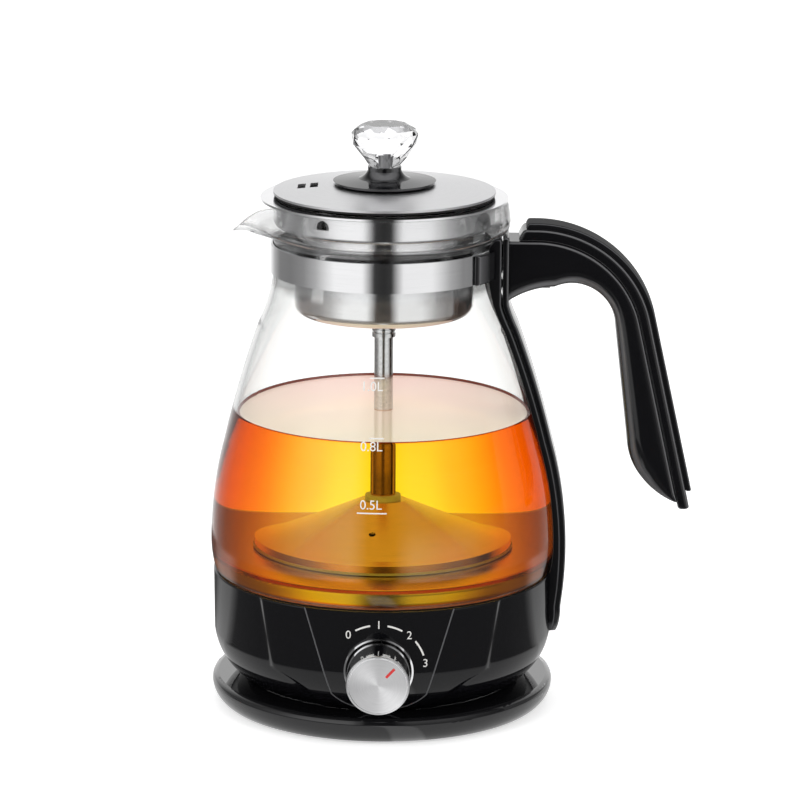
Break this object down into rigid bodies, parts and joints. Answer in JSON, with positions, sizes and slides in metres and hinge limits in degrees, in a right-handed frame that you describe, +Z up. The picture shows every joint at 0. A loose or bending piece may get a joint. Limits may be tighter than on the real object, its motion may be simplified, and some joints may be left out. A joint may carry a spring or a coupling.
{
  "type": "automatic tea maker",
  "caption": "Glass steam tea maker with a tea basket, riser tube and steam bell, a hook handle, a knob-operated heated base and a round cordless power base.",
  "frame": {"origin": "on the jug's axis in the plane of the table, under the middle of the power base", "axes": "+Z up, -X towards the spout, +X towards the handle, -Y towards the control panel"},
  "size_m": [0.1908, 0.1535, 0.2334],
  "materials": {
    "gloss_black": "gloss moulded",
    "satin_black": "satin moulded",
    "black_rubber": "soft matte",
    "silicone": "milky soft",
    "brushed_steel": "fine circular brushing",
    "screw_steel": "plain zinc",
    "chrome": "mirror",
    "aluminium": "spun circular",
    "contact_brass": "plain",
    "board_green": "solder mask",
    "relay_blue": "satin",
    "red_paint": "printed line",
    "wire_sleeve": "woven sleeve",
    "jug_glass": "clear borosilicate",
    "crystal": "faceted clear"
  },
  "bodies": {
    "power_base": {"base_top_cover": "gloss_black", "base_bottom_plate": "satin_black", "base_feet": "black_rubber", "base_screws": "screw_steel", "lower_connector": "satin_black", "contact_rings": "contact_brass", "cord_gland": "satin_black"},
    "swivel_ring": {"connector_shutter": "satin_black"},
    "kettle": {"glass_jug": "jug_glass", "jug_seal": "silicone", "heater_pan": "brushed_steel", "heat_plate": "aluminium", "heating_element": "screw_steel", "lead_wires": "wire_sleeve", "thermostats": "screw_steel", "thermal_fuse": "wire_sleeve", "base_housing": "gloss_black", "control_panel": "gloss_black", "dial_ring": "chrome", "bottom_cover": "satin_black", "bottom_cover_screws": "screw_steel", "upper_connector": "satin_black", "connector_screws": "screw_steel", "connector_pins": "contact_brass", "control_board": "board_green", "board_relay": "relay_blue", "board_screws": "screw_steel", "rotary_switch": "satin_black", "switch_nut": "screw_steel", "neck_band": "brushed_steel", "band_screw": "screw_steel", "handle_frame": "gloss_black", "strap_cover": "gloss_black", "strap_screw": "screw_steel", "handle_grip": "satin_black", "handle_spine": "satin_black", "handle_cap": "satin_black", "handle_screws": "screw_steel"},
    "knob": {"knob_body": "chrome", "knob_face": "aluminium", "knob_pointer": "red_paint", "switch_shaft": "screw_steel"},
    "infuser": {"tea_basket": "brushed_steel", "basket_nut": "brushed_steel", "tube_sleeve": "brushed_steel", "riser_tube": "brushed_steel", "spray_cap": "brushed_steel", "steam_bell": "brushed_steel", "bell_washer": "silicone", "bell_seal": "silicone"},
    "lid": {"lid_disc": "brushed_steel", "lid_seal": "black_rubber", "knob_base": "satin_black", "crystal_knob": "crystal", "lid_screw": "screw_steel"}
  },
  "joints": [
    {"name": "base_swivel", "type": "hinge", "parent": "power_base", "child": "swivel_ring", "pos_m": [0, 0, 0.012], "axis": [0, 0, 1], "continuous": true},
    {"name": "kettle_lift", "type": "slide", "parent": "swivel_ring", "child": "kettle", "axis": [0, 0, 1], "range_m": [0, 0.12]},
    {"name": "knob_turn", "type": "hinge", "parent": "kettle", "child": "knob", "pos_m": [0, -0.0686, 0.0312], "axis": [0, -0.9945, -0.1045], "range_deg": [-38, 82]},
    {"name": "infuser_lift", "type": "slide", "parent": "kettle", "child": "infuser", "axis": [0, 0, 1], "range_m": [0, 0.16]},
    {"name": "lid_lift", "type": "slide", "parent": "infuser", "child": "lid", "axis": [0, 0, 1], "range_m": [0, 0.08]}
  ]
}
